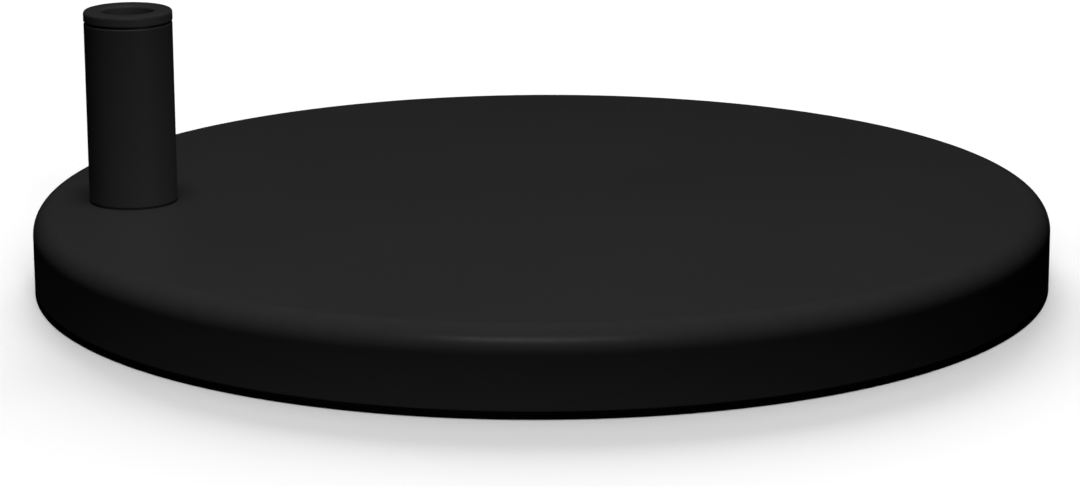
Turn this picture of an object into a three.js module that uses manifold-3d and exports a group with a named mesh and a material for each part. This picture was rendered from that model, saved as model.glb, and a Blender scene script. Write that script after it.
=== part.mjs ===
// A weighted round base for a desk lamp, with an upright post close to its rim.
// The post's head is a turned collar that swivels in two bushes and holds the pin of the lamp's arm.
// Millimetres, +Z up. The origin is the disc's centre, on the surface that the base stands on.
import * as THREE from "three";
import { mergeVertices } from "three/addons/utils/BufferGeometryUtils.js";
import Module from "manifold-3d";

const wasm = await Module();
wasm.setup();

// Disc
const BASE_RADIUS = 116;
const DISC_TOP = 18.8;
const PAD_THICKNESS = 1.5;
const PAD_CHAMFER = 0.2;
const COVER_WALL = 2;
const COVER_EDGE_RADIUS = 5.4;
const BONDING_THICKNESS = 0.5;
const BONDING_RADIUS = 108;
const BONDING_HOLE_RADIUS = 10;
const PLATE_THICKNESS = 2.5;
const INNER_CLEARANCE = 0.4;
const BALLAST_CHAMFER = 4;

// Countersunk M4 screws that hold the bottom plate
const PLATE_SCREWS = 6;
const PLATE_SCREW_CIRCLE = 95;
const M4_RADIUS = 2;
const M4_LENGTH = 12;
const M4_HEAD_RADIUS = 3.9;
const M4_SOCKET_RADIUS = 1.4;
const M4_SOCKET_DEPTH = 1.2;
const SCREW_CLEARANCE = 0.15;
const TAPPED_SPARE_DEPTH = 1.5;

// Post
const OVERALL_HEIGHT = 63;
const POST_X = -93.3;
const POST_RADIUS = 10;
const POST_BORE_RADIUS = 8;
const POST_TOP_ROUND = 0.4;
const POST_FOOT_CHAMFER = 0.15;
const SEAT_WASHER_THICKNESS = 0.4;
const SEAT_WASHER_RADIUS = 9.6;
const PRESS_GAP = 0.05;
const FOOT_PLUG_HEIGHT = 11;

// M8 bolt that holds the post down, and its washers
const M8_RADIUS = 4;
const M8_LENGTH = 20;
const M8_HEAD_HEIGHT = 5.3;
const M8_HEAD_CORNER_RADIUS = 7.5;
const M8_HEAD_CHAMFER = 0.5;
const BOLT_CLEARANCE = 0.2;
const PLAIN_WASHER_THICKNESS = 1.6;
const PLAIN_WASHER_RADIUS = 8;
const SPRING_WASHER_THICKNESS = 1.8;
const SPRING_WASHER_RADIUS = 7.1;
const SPRING_WASHER_SPLIT = 0.8;
const POCKET_RADIUS = 12;
const POCKET_TOP = 13.3;

// Pin that keeps the post from turning on its bolt
const PIN_RADIUS = 1.25;
const PIN_OFFSET = 6;
const PIN_LENGTH = 10.5;
const PIN_CHAMFER = 0.3;
const PIN_CLEARANCE = 0.1;

// Swivelling collar, turned in one with its sleeve
const COLLAR_RADIUS = 10.05;
const COLLAR_HEIGHT = 2.35;
const COLLAR_TOP_ROUND = 1;
const COLLAR_FOOT_CHAMFER = 0.2;
const SOCKET_RADIUS = 6.05;
const SOCKET_MOUTH_ROUND = 0.8;
const SLEEVE_RADIUS = 7;
const SLEEVE_CHAMFER = 0.4;
const SLEEVE_BOTTOM = 31;
const STOP_THICKNESS = 3;

// Acetal bushes that the sleeve turns in
const BUSH_BORE_RADIUS = 7.08;
const BUSH_GAP = 0.5;
const BUSH_FLANGE_THICKNESS = 0.45;
const BUSH_FLANGE_RADIUS = 9.4;
const UPPER_BUSH_LENGTH = 7;
const LOWER_BUSH_BOTTOM = 34.5;
const LOWER_BUSH_LENGTH = 5;

// Wire ring and wave washer that keep the sleeve in the post
const GROOVE_RADIUS = 6.5;
const GROOVE_HEIGHT = 1.1;
const WIRE_RADIUS = 0.5;
const WIRE_CENTRE_RADIUS = 7.1;
const WIRE_CENTRE_HEIGHT = 33;
const WIRE_RING_OPENING = 4;
const WAVE_INNER_RADIUS = 7.15;
const WAVE_OUTER_RADIUS = 7.75;
const WAVE_THICKNESS = 0.25;
const WAVE_AMPLITUDE = 0.12;
const WAVE_CENTRE_HEIGHT = 34;
const WAVES = 3;

// Facets in a full turn, and in a quarter turn of a round edge
const DISC_SEGMENTS = 72;
const POST_SEGMENTS = 48;
const SCREW_SEGMENTS = 20;
const HEXAGON = 6;
const WIRE_SEGMENTS = 8;
const COVER_ROUND_STEPS = 6;
const SMALL_ROUND_STEPS = 4;

// How far a cutter runs past the face that it cuts
const OVERSHOOT = 1;

// Heights that follow from the sizes above
const PLATE_TOP = PAD_THICKNESS + PLATE_THICKNESS;
const COVER_CEILING = DISC_TOP - COVER_WALL;
const BALLAST_TOP = COVER_CEILING - BONDING_THICKNESS;
const POST_FOOT = DISC_TOP + SEAT_WASHER_THICKNESS;
const COLLAR_FOOT = OVERALL_HEIGHT - COLLAR_HEIGHT;
const POST_TOP = COLLAR_FOOT - BUSH_GAP;
const BOLT_HEAD_TOP = POCKET_TOP - PLAIN_WASHER_THICKNESS - SPRING_WASHER_THICKNESS;
const PIN_BOTTOM = POCKET_TOP + BOLT_CLEARANCE;
const COVER_BORE_RADIUS = BASE_RADIUS - COVER_WALL;
const PLATE_RADIUS = COVER_BORE_RADIUS - INNER_CLEARANCE;

const FINISHES = {
  coatedSteel: { color: 0x1b1b1b, roughness: 0.45, metalness: 0.1 },
  castIron: { color: 0x3a3a3c, roughness: 0.8, metalness: 0.6 },
  zincSteel: { color: 0xa9adb2, roughness: 0.4, metalness: 0.9 },
  springSteel: { color: 0x55585c, roughness: 0.35, metalness: 0.9 },
  rubber: { color: 0x0a0a0a, roughness: 0.9, metalness: 0 },
  acetal: { color: 0x101010, roughness: 0.5, metalness: 0 },
  adhesive: { color: 0x8a857a, roughness: 0.95, metalness: 0 },
};

// A round piece about the Z axis, from its outline as [radius, height] points.
// The points run anticlockwise, with the radius to the right, and an outline off the axis is closed.
function turned(outline, segments = POST_SEGMENTS) {
  const points = outline.map(([radius, height]) => new THREE.Vector2(radius, height));
  if (outline[0][0] > 0) points.push(points[0].clone());
  return new THREE.LatheGeometry(points, segments).rotateX(Math.PI / 2);
}

// Outline points of a round stretch, with angles in quarter turns from the outward direction.
function round(centreRadius, centreHeight, size, from, to, steps) {
  return Array.from({ length: steps + 1 }, (_, i) => {
    const angle = ((from + ((to - from) * i) / steps) * Math.PI) / 2;
    return [centreRadius + size * Math.cos(angle), centreHeight + size * Math.sin(angle)];
  });
}

// Outline points of an outer upper corner with a small round.
function roundedCorner(outerRadius, topHeight, size) {
  return round(outerRadius - size, topHeight - size, size, 0, 1, SMALL_ROUND_STEPS);
}

// A solid cylinder or prism between two heights.
function rod(radius, bottom, top, segments = SCREW_SEGMENTS) {
  return turned([[0, bottom], [radius, bottom], [radius, top], [0, top]], segments);
}

// A plain ring between two radii and two heights.
function ring(inner, outer, bottom, top, segments = POST_SEGMENTS) {
  return turned([[inner, bottom], [outer, bottom], [outer, top], [inner, top]], segments);
}

function toSolid(geometry) {
  const bare = geometry.clone();
  bare.deleteAttribute("normal");
  bare.deleteAttribute("uv");
  const merged = mergeVertices(bare);
  return new wasm.Manifold(
    new wasm.Mesh({
      numProp: 3,
      vertProperties: merged.getAttribute("position").array,
      triVerts: new Uint32Array(merged.index.array),
    }),
  );
}

function toGeometry(solid) {
  const { vertProperties, triVerts } = solid.getMesh();
  const geometry = new THREE.BufferGeometry();
  geometry.setAttribute("position", new THREE.BufferAttribute(vertProperties, 3));
  geometry.setIndex(new THREE.BufferAttribute(triVerts, 1));
  geometry.computeVertexNormals();
  return geometry;
}

function cut(geometry, cutters) {
  const start = toSolid(geometry);
  return toGeometry(cutters.reduce((left, cutter) => left.subtract(toSolid(cutter)), start));
}

function join(geometry, additions) {
  const start = toSolid(geometry);
  return toGeometry(additions.reduce((whole, piece) => whole.add(toSolid(piece)), start));
}

function piece(name, geometry, finish) {
  const mesh = new THREE.Mesh(geometry, new THREE.MeshStandardMaterial(finish));
  mesh.name = name;
  return mesh;
}

// Places of the bottom plate's screws, evenly round the disc and clear of the post.
function screwPlaces() {
  return Array.from({ length: PLATE_SCREWS }, (_, i) => {
    const angle = ((i + 0.5) * 2 * Math.PI) / PLATE_SCREWS;
    return [PLATE_SCREW_CIRCLE * Math.cos(angle), PLATE_SCREW_CIRCLE * Math.sin(angle)];
  });
}

// Pressed steel cover: a shallow dish turned over, with a large round along its upper edge.
function topCover() {
  const roundRadius = BASE_RADIUS - COVER_EDGE_RADIUS;
  const roundHeight = DISC_TOP - COVER_EDGE_RADIUS;
  const shell = turned(
    [
      [0, COVER_CEILING],
      ...round(roundRadius, roundHeight, COVER_EDGE_RADIUS - COVER_WALL, 1, 0, SMALL_ROUND_STEPS),
      [COVER_BORE_RADIUS, PAD_THICKNESS],
      [BASE_RADIUS, PAD_THICKNESS],
      ...round(roundRadius, roundHeight, COVER_EDGE_RADIUS, 0, 1, COVER_ROUND_STEPS),
      [0, DISC_TOP],
    ],
    DISC_SEGMENTS,
  );
  return piece("top_cover", cut(shell, postFixingHoles(COVER_CEILING, DISC_TOP)), FINISHES.coatedSteel);
}

// Cutter for the locating pin's hole, about the post's axis.
function pinHole(bottom, top) {
  return rod(PIN_RADIUS + PIN_CLEARANCE, bottom, top).translate(PIN_OFFSET, 0, 0);
}

// Cutters for the bolt and the locating pin, through whatever lies between two heights.
function postFixingHoles(bottom, top) {
  const bolt = rod(M8_RADIUS + BOLT_CLEARANCE, bottom - OVERSHOOT, top + OVERSHOOT);
  const pin = pinHole(bottom - OVERSHOOT, top + OVERSHOOT);
  return [bolt, pin].map((cutter) => cutter.translate(POST_X, 0, 0));
}

// Cast iron weight, with a pocket under the post for the bolt's head and tapped holes for the screws.
function ballastDisc() {
  const radius = COVER_BORE_RADIUS - INNER_CLEARANCE;
  const disc = turned(
    [
      [0, PLATE_TOP],
      [radius, PLATE_TOP],
      [radius, BALLAST_TOP - BALLAST_CHAMFER],
      [radius - BALLAST_CHAMFER, BALLAST_TOP],
      [0, BALLAST_TOP],
    ],
    DISC_SEGMENTS,
  );
  const pocket = rod(POCKET_RADIUS, PLATE_TOP - OVERSHOOT, POCKET_TOP, POST_SEGMENTS).translate(POST_X, 0, 0);
  const tappedTop = PAD_THICKNESS + M4_LENGTH + TAPPED_SPARE_DEPTH;
  const tapped = screwPlaces().map(([x, y]) =>
    rod(M4_RADIUS + SCREW_CLEARANCE, PLATE_TOP - OVERSHOOT, tappedTop).translate(x, y, 0),
  );
  const cutters = [pocket, ...tapped, ...postFixingHoles(POCKET_TOP, BALLAST_TOP)];
  return piece("ballast_disc", cut(disc, cutters), FINISHES.castIron);
}

// Adhesive foam sheet that bonds the weight under the cover and keeps it from ringing.
function bondingSheet() {
  const sheet = rod(BONDING_RADIUS, BALLAST_TOP, COVER_CEILING, DISC_SEGMENTS);
  const hole = rod(BONDING_HOLE_RADIUS, BALLAST_TOP - OVERSHOOT, COVER_CEILING + OVERSHOOT);
  return piece("bonding_sheet", cut(sheet, [hole.translate(POST_X, 0, 0)]), FINISHES.adhesive);
}

// Steel plate that closes the cover from below, countersunk for its screws.
function bottomPlate() {
  const plate = rod(PLATE_RADIUS, PAD_THICKNESS, PLATE_TOP, DISC_SEGMENTS);
  const mouth = M4_HEAD_RADIUS + SCREW_CLEARANCE;
  const shank = M4_RADIUS + SCREW_CLEARANCE;
  const sinks = screwPlaces().map(([x, y]) =>
    turned(
      [
        [0, PAD_THICKNESS - OVERSHOOT],
        [mouth, PAD_THICKNESS - OVERSHOOT],
        [mouth, PAD_THICKNESS + SCREW_CLEARANCE],
        [shank, PAD_THICKNESS + SCREW_CLEARANCE + mouth - shank],
        [shank, PLATE_TOP + OVERSHOOT],
        [0, PLATE_TOP + OVERSHOOT],
      ],
      SCREW_SEGMENTS,
    ).translate(x, y, 0),
  );
  return piece("bottom_plate", cut(plate, sinks), FINISHES.zincSteel);
}

// Countersunk screw, head down, with a hexagon socket.
function plateScrew(name) {
  const headBottom = SCREW_CLEARANCE;
  const screw = turned(
    [
      [0, headBottom],
      [M4_HEAD_RADIUS, headBottom],
      [M4_RADIUS, headBottom + M4_HEAD_RADIUS - M4_RADIUS],
      [M4_RADIUS, M4_LENGTH - M4_RADIUS / 2],
      [M4_RADIUS / 2, M4_LENGTH],
      [0, M4_LENGTH],
    ],
    SCREW_SEGMENTS,
  );
  const socket = rod(M4_SOCKET_RADIUS, 0, headBottom + M4_SOCKET_DEPTH, HEXAGON);
  return piece(name, cut(screw, [socket]), FINISHES.zincSteel);
}

// Rubber pad as wide as the disc, which the base stands on.
function basePad() {
  const pad = turned(
    [
      [0, 0],
      [BASE_RADIUS - PAD_CHAMFER, 0],
      [BASE_RADIUS, PAD_CHAMFER],
      [BASE_RADIUS, PAD_THICKNESS],
      [0, PAD_THICKNESS],
    ],
    DISC_SEGMENTS,
  );
  return piece("base_pad", pad, FINISHES.rubber);
}

function disc() {
  const group = new THREE.Group();
  group.add(basePad(), bottomPlate(), ballastDisc(), bondingSheet(), topCover());
  screwPlaces().forEach(([x, y], i) => {
    const screw = plateScrew(`plate_screw_${i + 1}`);
    screw.position.set(x, y, PAD_THICKNESS);
    group.add(screw);
  });
  return group;
}

// Thin plastic washer between the post and the coated cover, a little smaller than the post.
function postSeatWasher() {
  const washer = ring(M8_RADIUS + BOLT_CLEARANCE, SEAT_WASHER_RADIUS, DISC_TOP, POST_FOOT);
  const hole = pinHole(DISC_TOP - OVERSHOOT, POST_FOOT + OVERSHOOT);
  return piece("post_seat_washer", cut(washer, [hole]), FINISHES.acetal);
}

function postTube() {
  const tube = turned([
    [POST_BORE_RADIUS, POST_FOOT],
    [POST_RADIUS - POST_FOOT_CHAMFER, POST_FOOT],
    [POST_RADIUS, POST_FOOT + POST_FOOT_CHAMFER],
    ...roundedCorner(POST_RADIUS, POST_TOP, POST_TOP_ROUND),
    [POST_BORE_RADIUS, POST_TOP],
  ]);
  return piece("post_tube", tube, FINISHES.coatedSteel);
}

// Tapped plug pressed and welded into the tube's foot.
function postFootPlug() {
  const top = POST_FOOT + FOOT_PLUG_HEIGHT;
  const plug = ring(M8_RADIUS + BOLT_CLEARANCE, POST_BORE_RADIUS - PRESS_GAP, POST_FOOT, top);
  const hole = pinHole(POST_FOOT - OVERSHOOT, PIN_BOTTOM + PIN_LENGTH + PIN_CLEARANCE);
  return piece("post_foot_plug", cut(plug, [hole]), FINISHES.zincSteel);
}

function postBolt() {
  const headBottom = BOLT_HEAD_TOP - M8_HEAD_HEIGHT;
  const top = BOLT_HEAD_TOP + M8_LENGTH;
  const head = turned(
    [
      [0, headBottom],
      [M8_HEAD_CORNER_RADIUS - M8_HEAD_CHAMFER, headBottom],
      [M8_HEAD_CORNER_RADIUS, headBottom + M8_HEAD_CHAMFER],
      [M8_HEAD_CORNER_RADIUS, BOLT_HEAD_TOP],
      [0, BOLT_HEAD_TOP],
    ],
    HEXAGON,
  );
  const shank = turned(
    [
      [0, BOLT_HEAD_TOP - OVERSHOOT],
      [M8_RADIUS, BOLT_HEAD_TOP - OVERSHOOT],
      [M8_RADIUS, top - M8_HEAD_CHAMFER],
      [M8_RADIUS - M8_HEAD_CHAMFER, top],
      [0, top],
    ],
    SCREW_SEGMENTS,
  );
  return piece("post_bolt", join(head, [shank]), FINISHES.zincSteel);
}

function postPlainWasher() {
  const bottom = POCKET_TOP - PLAIN_WASHER_THICKNESS;
  const washer = ring(M8_RADIUS + BOLT_CLEARANCE, PLAIN_WASHER_RADIUS, bottom, POCKET_TOP, SCREW_SEGMENTS);
  return piece("post_plain_washer", washer, FINISHES.zincSteel);
}

// Split washer, drawn flat as it is once the bolt is tight.
function postSpringWasher() {
  const top = BOLT_HEAD_TOP + SPRING_WASHER_THICKNESS;
  const washer = ring(M8_RADIUS + BOLT_CLEARANCE, SPRING_WASHER_RADIUS, BOLT_HEAD_TOP, top, SCREW_SEGMENTS);
  const split = new THREE.BoxGeometry(2 * POST_RADIUS, SPRING_WASHER_SPLIT, POST_RADIUS);
  split.translate(POST_RADIUS, 0, BOLT_HEAD_TOP);
  return piece("post_spring_washer", cut(washer, [split]), FINISHES.springSteel);
}

function postLocatingPin() {
  const top = PIN_BOTTOM + PIN_LENGTH;
  const pin = turned(
    [
      [0, PIN_BOTTOM],
      [PIN_RADIUS - PIN_CHAMFER, PIN_BOTTOM],
      [PIN_RADIUS, PIN_BOTTOM + PIN_CHAMFER],
      [PIN_RADIUS, top - PIN_CHAMFER],
      [PIN_RADIUS - PIN_CHAMFER, top],
      [0, top],
    ],
    SCREW_SEGMENTS,
  );
  return piece("post_locating_pin", pin.translate(PIN_OFFSET, 0, 0), FINISHES.springSteel);
}

// Flanged bush in the post's mouth; its flange is the dark line under the collar.
function upperBush() {
  const flangeTop = POST_TOP + BUSH_FLANGE_THICKNESS;
  const bush = turned([
    [BUSH_BORE_RADIUS, POST_TOP - UPPER_BUSH_LENGTH],
    [POST_BORE_RADIUS - PRESS_GAP, POST_TOP - UPPER_BUSH_LENGTH],
    [POST_BORE_RADIUS - PRESS_GAP, POST_TOP],
    [BUSH_FLANGE_RADIUS, POST_TOP],
    [BUSH_FLANGE_RADIUS, flangeTop],
    [BUSH_BORE_RADIUS, flangeTop],
  ]);
  return piece("upper_bush", bush, FINISHES.acetal);
}

function lowerBush() {
  const top = LOWER_BUSH_BOTTOM + LOWER_BUSH_LENGTH;
  const bush = ring(BUSH_BORE_RADIUS, POST_BORE_RADIUS - PRESS_GAP, LOWER_BUSH_BOTTOM, top);
  return piece("lower_bush", bush, FINISHES.acetal);
}

// Collar and sleeve in one: the visible ring, the socket for the arm's pin and the wire ring's groove.
function swivelCollar() {
  const grooveBottom = WIRE_CENTRE_HEIGHT - GROOVE_HEIGHT / 2;
  const grooveTop = grooveBottom + GROOVE_HEIGHT;
  const mouthRadius = SOCKET_RADIUS + SOCKET_MOUTH_ROUND;
  const collar = turned([
    [SOCKET_RADIUS, SLEEVE_BOTTOM],
    [SLEEVE_RADIUS - SLEEVE_CHAMFER, SLEEVE_BOTTOM],
    [SLEEVE_RADIUS, SLEEVE_BOTTOM + SLEEVE_CHAMFER],
    [SLEEVE_RADIUS, grooveBottom],
    [GROOVE_RADIUS, grooveBottom],
    [GROOVE_RADIUS, grooveTop],
    [SLEEVE_RADIUS, grooveTop],
    [SLEEVE_RADIUS, COLLAR_FOOT],
    [COLLAR_RADIUS - COLLAR_FOOT_CHAMFER, COLLAR_FOOT],
    [COLLAR_RADIUS, COLLAR_FOOT + COLLAR_FOOT_CHAMFER],
    ...roundedCorner(COLLAR_RADIUS, OVERALL_HEIGHT, COLLAR_TOP_ROUND),
    ...round(mouthRadius, OVERALL_HEIGHT - SOCKET_MOUTH_ROUND, SOCKET_MOUTH_ROUND, 1, 2, SMALL_ROUND_STEPS),
  ]);
  return piece("swivel_collar", collar, FINISHES.coatedSteel);
}

// Disc pressed into the sleeve's foot, on which the arm's pin comes to rest.
function socketStop() {
  const stop = rod(SOCKET_RADIUS - PRESS_GAP, SLEEVE_BOTTOM, SLEEVE_BOTTOM + STOP_THICKNESS, POST_SEGMENTS);
  return piece("socket_stop", stop, FINISHES.acetal);
}

// Open ring of round wire, sprung into the sleeve's groove.
function retainingRing() {
  const lastSide = WIRE_SEGMENTS - 1;
  const lastAngle = (4 * lastSide) / WIRE_SEGMENTS;
  const wire = round(WIRE_CENTRE_RADIUS, WIRE_CENTRE_HEIGHT, WIRE_RADIUS, 0, lastAngle, lastSide);
  const opening = new THREE.BoxGeometry(2 * POST_RADIUS, WIRE_RING_OPENING, POST_RADIUS);
  opening.translate(-POST_RADIUS, 0, WIRE_CENTRE_HEIGHT);
  return piece("retaining_ring", cut(turned(wire), [opening]), FINISHES.springSteel);
}

// Thin ring with waves round it, which takes up the sleeve's end play.
function waveWasher() {
  const washer = ring(WAVE_INNER_RADIUS, WAVE_OUTER_RADIUS, 0, WAVE_THICKNESS);
  const point = washer.getAttribute("position");
  for (let i = 0; i < point.count; i++) {
    const angle = Math.atan2(point.getY(i), point.getX(i));
    const lift = WAVE_AMPLITUDE * Math.cos(WAVES * angle) - WAVE_THICKNESS / 2;
    point.setZ(i, WAVE_CENTRE_HEIGHT + lift + point.getZ(i));
  }
  washer.computeVertexNormals();
  return piece("wave_washer", washer, FINISHES.springSteel);
}

function post() {
  const group = new THREE.Group();
  group.position.x = POST_X;
  group.add(postSeatWasher(), postTube(), postFootPlug(), postLocatingPin());
  group.add(postBolt(), postPlainWasher(), postSpringWasher());
  group.add(upperBush(), lowerBush());
  group.add(swivelCollar(), socketStop(), retainingRing(), waveWasher());
  return group;
}

const lampBase = new THREE.Group();
lampBase.add(disc(), post());

export default lampBase;
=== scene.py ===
"""Looks of a desk lamp's base: black disc and post, swivelling collar, rubber pad, and all that is inside."""
import math

import bmesh
import bpy
from mathutils import Matrix, Vector


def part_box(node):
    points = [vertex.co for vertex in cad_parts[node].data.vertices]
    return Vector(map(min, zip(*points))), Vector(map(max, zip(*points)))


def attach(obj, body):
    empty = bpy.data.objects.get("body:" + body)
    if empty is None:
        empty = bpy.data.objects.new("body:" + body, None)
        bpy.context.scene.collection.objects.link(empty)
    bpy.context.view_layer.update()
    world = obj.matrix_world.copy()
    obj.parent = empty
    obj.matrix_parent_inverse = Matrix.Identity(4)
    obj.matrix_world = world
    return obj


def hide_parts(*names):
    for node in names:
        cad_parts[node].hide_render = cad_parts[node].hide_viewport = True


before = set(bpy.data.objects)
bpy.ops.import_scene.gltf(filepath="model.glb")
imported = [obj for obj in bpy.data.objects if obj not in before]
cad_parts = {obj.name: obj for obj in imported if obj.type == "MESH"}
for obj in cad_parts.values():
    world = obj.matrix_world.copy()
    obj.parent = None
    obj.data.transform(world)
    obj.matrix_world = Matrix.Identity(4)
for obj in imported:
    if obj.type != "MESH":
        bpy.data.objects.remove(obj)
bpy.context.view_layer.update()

MM = 0.001

# Facets round the turned pieces, and rings of points in each turn of a thread
DISC_SEGMENTS = 240
POST_SEGMENTS = 144
SCREW_SEGMENTS = 48
WIRE_SEGMENTS = 24
THREAD_ROWS = 12

# Steps in a rounded corner, by the largest size in metres that each is for
ROUND_STEPS = ((0.3 * MM, 3), (1.2 * MM, 8), (1.0, 16))

# Distance from a corner to the ring that keeps the long stretch beside it flat
SUPPORT = 0.25 * MM

# Edges that turn by less than this are shaded smooth
SMOOTH_BELOW = math.radians(34)

# A ring narrower than this is a point on its axis
TINY = 1e-7


# ---------------------------------------------------------------- places and sizes
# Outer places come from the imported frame. Inner sizes repeat the CAD's, and the small rounds are added here.

PAD_LOW, PAD_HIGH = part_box("base_pad")
COVER_LOW, COVER_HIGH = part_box("top_cover")
PLATE_LOW, PLATE_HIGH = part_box("bottom_plate")
WEIGHT_LOW, WEIGHT_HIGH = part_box("ballast_disc")
SHEET_LOW, SHEET_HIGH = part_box("bonding_sheet")
SCREW_LOW, SCREW_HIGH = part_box("plate_screw_1")
TUBE_LOW, TUBE_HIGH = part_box("post_tube")
SEAT_LOW, SEAT_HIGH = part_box("post_seat_washer")
PLUG_LOW, PLUG_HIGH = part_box("post_foot_plug")
PIN_LOW, PIN_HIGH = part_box("post_locating_pin")
BOLT_LOW, BOLT_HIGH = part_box("post_bolt")
FLAT_LOW, FLAT_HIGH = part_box("post_plain_washer")
SPLIT_LOW, SPLIT_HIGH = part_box("post_spring_washer")
UPPER_LOW, UPPER_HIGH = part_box("upper_bush")
LOWER_LOW, LOWER_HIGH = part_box("lower_bush")
COLLAR_LOW, COLLAR_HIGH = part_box("swivel_collar")
STOP_LOW, STOP_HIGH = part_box("socket_stop")
WIRE_LOW, WIRE_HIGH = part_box("retaining_ring")
WAVE_LOW, WAVE_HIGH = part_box("wave_washer")

POST_X = (TUBE_LOW.x + TUBE_HIGH.x) / 2
POST_AXIS = (POST_X, 0.0)
PIN_AXIS = ((PIN_LOW.x + PIN_HIGH.x) / 2, 0.0)
DISC_AXIS = (0.0, 0.0)
BASE_RADIUS = PAD_HIGH.x
BOLT_HOLE = 4.2 * MM
PIN_HOLE = 1.35 * MM
SCREW_NUMBERS = range(1, 7)
SCREW_PLACES = [tuple((low + high) / 2)[:2] for low, high in
                (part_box(f"plate_screw_{i}") for i in SCREW_NUMBERS)]


def radius_of(low, high):
    return (high.x - low.x) / 2


# ---------------------------------------------------------------- outlines
# An outline's corners are (radius, height, size of round).

def rim(low, high, low_round, high_round, inset, squeeze=0.0):
    """Outline of a flat disc's edge, from a ring in its lower face out and up to one in its upper face.

    Low and high are the corners of its box. Squeeze is how far it bulges past that box.
    """
    radius = radius_of(low, high) + squeeze
    return [
        (radius - inset, low.z, 0),
        (radius, low.z, low_round),
        (radius, high.z, high_round),
        (radius - inset, high.z, 0),
    ]


def ring_section(inner, low, high, inner_round, outer_round):
    """Closed outline of a plain ring; low and high are the corners of its box."""
    outer = radius_of(low, high)
    return [
        (inner, low.z, inner_round),
        (outer, low.z, outer_round),
        (outer, high.z, outer_round),
        (inner, high.z, inner_round),
    ]


def round_steps(size):
    return next(steps for limit, steps in ROUND_STEPS if size <= limit)


def rounded(corners):
    """Outline points (radius, height, share of edge wear and of the post's painted edge highlight) from
    (radius, height, size of round) corners.
    """
    points = []
    for i, (r, z, size) in enumerate(corners):
        if not size:
            points.append((r, z, 0.0))
            continue
        corner = Vector((r, z))
        before = (Vector(corners[i - 1][:2]) - corner).normalized()
        after = (Vector(corners[(i + 1) % len(corners)][:2]) - corner).normalized()
        half = before.angle(after) / 2
        centre = corner + (before + after).normalized() * size / math.sin(half)
        start = corner + before * size / math.tan(half) - centre
        turn = math.pi - 2 * half
        if before.x * after.y - before.y * after.x > 0:
            turn = -turn
        steps = round_steps(size)
        for k in range(steps + 1):
            share = k / steps
            angle = math.atan2(start.y, start.x) + turn * share
            point = centre + size * Vector((math.cos(angle), math.sin(angle)))
            points.append((point.x, point.y, math.sin(math.pi * share)))
    return points


def supported(points, closed):
    """The same outline with a point close to each end of its long straight stretches."""
    made = []
    for i, (r, z, wear) in enumerate(points):
        made.append((r, z, wear))
        if i + 1 == len(points) and not closed:
            break
        ahead = points[(i + 1) % len(points)]
        way = Vector((ahead[0] - r, ahead[1] - z))
        if way.length < 4 * SUPPORT or (r < SUPPORT and ahead[0] < SUPPORT):
            continue
        step = way.normalized() * SUPPORT
        made.append((r + step.x, z + step.y, 0.0))
        made.append((ahead[0] - step.x, ahead[1] - step.y, 0.0))
    return made


# ---------------------------------------------------------------- solids from rings of points

class Solid:
    """A closed mesh, put together from rings of points about upright axes."""

    def __init__(self, axis=POST_AXIS, segments=POST_SEGMENTS, bm=None):
        self.bm = bm or bmesh.new()
        layers = self.bm.verts.layers.float
        self.worn = layers.get("worn") or layers.new("worn")
        self.axis = axis
        self.segments = segments

    def about(self, axis, segments):
        """The same mesh, with further rings about another axis."""
        return Solid(axis, segments, self.bm)

    def ring(self, radius, z, wear=0.0):
        """Points round the axis at a height; radius and height are numbers or functions of the angle."""
        centre = not callable(radius) and radius < TINY
        made = []
        for k in range(1 if centre else self.segments):
            angle = 2 * math.pi * k / self.segments
            r = radius(angle) if callable(radius) else radius
            height = z(angle) if callable(z) else z
            vert = self.bm.verts.new((
                self.axis[0] + r * math.cos(angle),
                self.axis[1] + r * math.sin(angle),
                height,
            ))
            vert[self.worn] = wear
            made.append(vert)
        return made

    def strip(self, low, high):
        """Faces between two rings, or between a ring and a point."""
        count = max(len(low), len(high))
        if count == 1:
            return
        for k in range(count):
            n = (k + 1) % count
            if len(low) == 1:
                self.bm.faces.new((low[0], high[n], high[k]))
            elif len(high) == 1:
                self.bm.faces.new((low[k], low[n], high[0]))
            else:
                self.bm.faces.new((low[k], low[n], high[n], high[k]))

    def wall(self, points, closed=False):
        """Rings at (radius, height, wear) points, with faces between each and the next."""
        rings = [self.ring(*point) for point in points]
        for i in range(len(rings) - (0 if closed else 1)):
            self.strip(rings[i], rings[(i + 1) % len(rings)])
        return rings

    def hole(self, axis, points):
        """Wall of a small hole about another axis; its points may leave out the wear."""
        return self.about(axis, SCREW_SEGMENTS).wall(points)

    def flat(self, *loops):
        """Level face between an outer loop and the loops of its holes."""
        edges = []
        for loop in loops:
            for k, vert in enumerate(loop):
                pair = (vert, loop[(k + 1) % len(loop)])
                edges.append(self.bm.edges.get(pair) or self.bm.edges.new(pair))
        bmesh.ops.triangle_fill(self.bm, use_beauty=True, use_dissolve=False, edges=edges, normal=(0, 0, 1))

    def finished(self, name):
        """The object, with outward faces that are smooth apart from its sharp edges."""
        bmesh.ops.recalc_face_normals(self.bm, faces=self.bm.faces)
        mesh = bpy.data.meshes.new(name)
        self.bm.to_mesh(mesh)
        self.bm.free()
        mesh.shade_smooth()
        mesh.set_sharp_from_angle(angle=SMOOTH_BELOW)
        piece = bpy.data.objects.new(name, mesh)
        bpy.context.scene.collection.objects.link(piece)
        return piece


def lathe(name, corners, axis=POST_AXIS, segments=POST_SEGMENTS):
    """A turned piece from a closed outline's corners."""
    solid = Solid(axis, segments)
    solid.wall(supported(rounded(corners), closed=True), closed=True)
    return solid.finished(name)


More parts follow.
